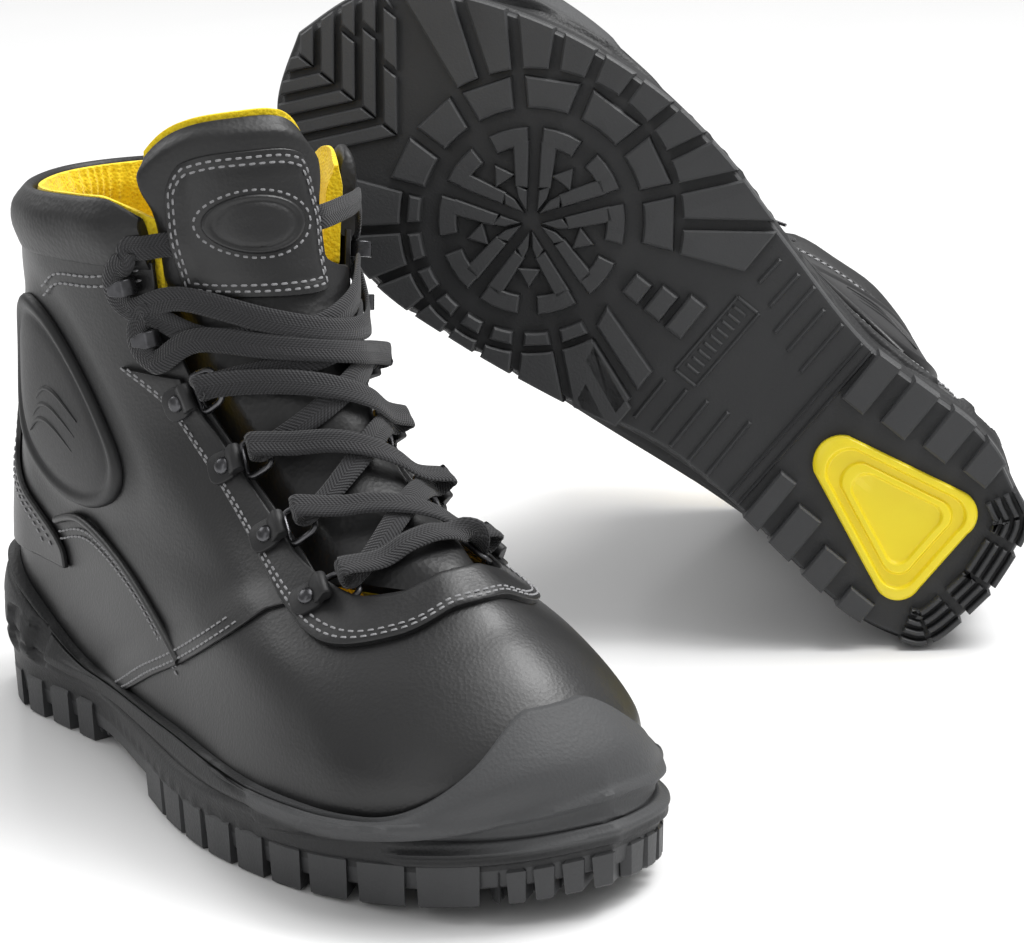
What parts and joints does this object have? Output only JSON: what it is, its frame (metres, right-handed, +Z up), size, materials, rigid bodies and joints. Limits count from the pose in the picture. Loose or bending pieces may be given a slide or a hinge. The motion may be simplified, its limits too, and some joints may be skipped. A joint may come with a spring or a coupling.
{
  "type": "lace-up safety boots",
  "caption": "Pair of ankle-high black lace-up work boots with lugged soles, one standing and one tipped to show its tread.",
  "frame": {"origin": "middle of the pair's box, on the floor", "axes": "+Z up, the right boot's toe points along -Y and its outer side along -X, the left boot lies on the +X side"},
  "size_m": [0.4132, 0.3472, 0.2282],
  "materials": {
    "leather": "waxed smooth black",
    "textile": "woven black",
    "lining": "yellow mesh lining",
    "rubber": "matte black rubber",
    "foam": "matte dark polyurethane",
    "insert": "smooth yellow rubber",
    "steel": "plain",
    "hardware": "dark polished"
  },
  "bodies": {
    "right_boot": {"right_outsole": "rubber", "right_midsole": "foam", "right_heel_insert": "insert", "right_protection_plate": "steel", "right_safety_toecap": "steel", "right_vamp": "leather", "right_quarter_outer": "leather", "right_quarter_inner": "leather", "right_heel_counter": "leather", "right_ankle_pad_outer": "leather", "right_ankle_pad_inner": "leather", "right_collar": "leather", "right_lining": "lining", "right_tongue": "leather", "right_tongue_patch": "leather", "right_eyestay": "leather", "right_lace": "textile", "right_hook_outer_1": "hardware", "right_hook_outer_2": "hardware", "right_hook_inner_1": "hardware", "right_hook_inner_2": "hardware"},
    "left_boot": {"left_outsole": "rubber", "left_midsole": "foam", "left_heel_insert": "insert", "left_protection_plate": "steel", "left_safety_toecap": "steel", "left_vamp": "leather", "left_quarter_outer": "leather", "left_quarter_inner": "leather", "left_heel_counter": "leather", "left_ankle_pad_outer": "leather", "left_ankle_pad_inner": "leather", "left_collar": "leather", "left_lining": "lining", "left_tongue": "leather", "left_tongue_patch": "leather", "left_eyestay": "leather", "left_lace": "textile", "left_hook_outer_1": "hardware", "left_hook_outer_2": "hardware", "left_hook_inner_1": "hardware", "left_hook_inner_2": "hardware"},
    "right_footbed_body": {"right_footbed": "textile"},
    "right_ring_outer_1_body": {"right_ring_outer_1": "hardware"},
    "right_ring_outer_2_body": {"right_ring_outer_2": "hardware"},
    "right_ring_outer_3_body": {"right_ring_outer_3": "hardware"},
    "right_ring_outer_4_body": {"right_ring_outer_4": "hardware"},
    "right_ring_inner_1_body": {"right_ring_inner_1": "hardware"},
    "right_ring_inner_2_body": {"right_ring_inner_2": "hardware"},
    "right_ring_inner_3_body": {"right_ring_inner_3": "hardware"},
    "right_ring_inner_4_body": {"right_ring_inner_4": "hardware"},
    "left_footbed_body": {"left_footbed": "textile"},
    "left_ring_outer_1_body": {"left_ring_outer_1": "hardware"},
    "left_ring_outer_2_body": {"left_ring_outer_2": "hardware"},
    "left_ring_outer_3_body": {"left_ring_outer_3": "hardware"},
    "left_ring_outer_4_body": {"left_ring_outer_4": "hardware"},
    "left_ring_inner_1_body": {"left_ring_inner_1": "hardware"},
    "left_ring_inner_2_body": {"left_ring_inner_2": "hardware"},
    "left_ring_inner_3_body": {"left_ring_inner_3": "hardware"},
    "left_ring_inner_4_body": {"left_ring_inner_4": "hardware"}
  },
  "joints": [
    {"name": "left_boot_lift", "type": "slide", "parent": "right_boot", "child": "left_boot", "axis": [0, 0, 1], "range_m": [0, 0.35]},
    {"name": "right_footbed_lift", "type": "hinge", "parent": "right_boot", "child": "right_footbed_body", "pos_m": [-0.14605, -0.14614, 0.0301], "axis": [1, 0, 0], "range_deg": [0, 6]},
    {"name": "right_ring_outer_1_swing", "type": "hinge", "parent": "right_boot", "child": "right_ring_outer_1_body", "pos_m": [-0.1782, -0.08818, 0.08436], "axis": [-0.2618, -0.8263, -0.4988], "range_deg": [-5, 5]},
    {"name": "right_ring_outer_2_swing", "type": "hinge", "parent": "right_boot", "child": "right_ring_outer_2_body", "pos_m": [-0.1764, -0.06343, 0.09707], "axis": [-0.2386, -0.7444, -0.6236], "range_deg": [-5, 5]},
    {"name": "right_ring_outer_3_swing", "type": "hinge", "parent": "right_boot", "child": "right_ring_outer_3_body", "pos_m": [-0.17519, -0.03895, 0.11197], "axis": [-0.1916, -0.612, -0.7673], "range_deg": [-5, 5]},
    {"name": "right_ring_outer_4_swing", "type": "hinge", "parent": "right_boot", "child": "right_ring_outer_4_body", "pos_m": [-0.17922, -0.01947, 0.12762], "axis": [0.0873, -0.4793, -0.8733], "range_deg": [-5, 5]},
    {"name": "right_ring_inner_1_swing", "type": "hinge", "parent": "right_boot", "child": "right_ring_inner_1_body", "pos_m": [-0.11783, -0.08827, 0.08439], "axis": [-0.2961, 0.8011, 0.5201], "range_deg": [-5, 5]},
    {"name": "right_ring_inner_2_swing", "type": "hinge", "parent": "right_boot", "child": "right_ring_inner_2_body", "pos_m": [-0.11897, -0.06363, 0.09671], "axis": [-0.2061, 0.6924, 0.6915], "range_deg": [-5, 0.5]},
    {"name": "right_ring_inner_3_swing", "type": "hinge", "parent": "right_boot", "child": "right_ring_inner_3_body", "pos_m": [-0.11774, -0.03917, 0.11119], "axis": [-0.0694, 0.5425, 0.8372], "range_deg": [-5, 5]},
    {"name": "right_ring_inner_4_swing", "type": "hinge", "parent": "right_boot", "child": "right_ring_inner_4_body", "pos_m": [-0.11198, -0.01955, 0.12704], "axis": [0.1989, 0.4514, 0.8699], "range_deg": [-5, 5]},
    {"name": "left_footbed_lift", "type": "hinge", "parent": "left_boot", "child": "left_footbed_body", "pos_m": [-0.0247, 0.1024, 0.19602], "axis": [0.5578, -0.3333, 0.7601], "range_deg": [0, 6]},
    {"name": "left_ring_outer_1_swing", "type": "hinge", "parent": "left_boot", "child": "left_ring_outer_1_body", "pos_m": [0.0586, 0.10007, 0.17616], "axis": [0.6099, -0.0009, -0.7925], "range_deg": [-5, 5]},
    {"name": "left_ring_outer_2_swing", "type": "hinge", "parent": "left_boot", "child": "left_ring_outer_2_body", "pos_m": [0.07881, 0.09635, 0.15732], "axis": [0.6594, 0.1319, -0.7401], "range_deg": [-5, 5]},
    {"name": "left_ring_outer_3_swing", "type": "hinge", "parent": "left_boot", "child": "left_ring_outer_3_body", "pos_m": [0.10061, 0.09423, 0.1388], "axis": [0.7076, 0.2994, -0.6401], "range_deg": [-5, 5]},
    {"name": "left_ring_outer_4_swing", "type": "hinge", "parent": "left_boot", "child": "left_ring_outer_4_body", "pos_m": [0.12317, 0.09375, 0.12734], "axis": [0.8608, 0.3614, -0.3584], "range_deg": [-5, 5]},
    {"name": "left_ring_inner_1_swing", "type": "hinge", "parent": "left_boot", "child": "left_ring_inner_1_body", "pos_m": [0.02489, 0.12027, 0.13033], "axis": [-0.9215, 0.1565, 0.3554], "range_deg": [-5, 5]},
    {"name": "left_ring_inner_2_swing", "type": "hinge", "parent": "left_boot", "child": "left_ring_inner_2_body", "pos_m": [0.04643, 0.11533, 0.11385], "axis": [-0.9234, -0.0642, 0.3784], "range_deg": [-5, 0.5]},
    {"name": "left_ring_inner_3_swing", "type": "hinge", "parent": "left_boot", "child": "left_ring_inner_3_body", "pos_m": [0.06794, 0.11292, 0.09539], "axis": [-0.8611, -0.3044, 0.4071], "range_deg": [-5, 5]},
    {"name": "left_ring_inner_4_swing", "type": "hinge", "parent": "left_boot", "child": "left_ring_inner_4_body", "pos_m": [0.08525, 0.11577, 0.07636], "axis": [-0.6842, -0.4699, 0.5578], "range_deg": [-5, 5]}
  ]
}
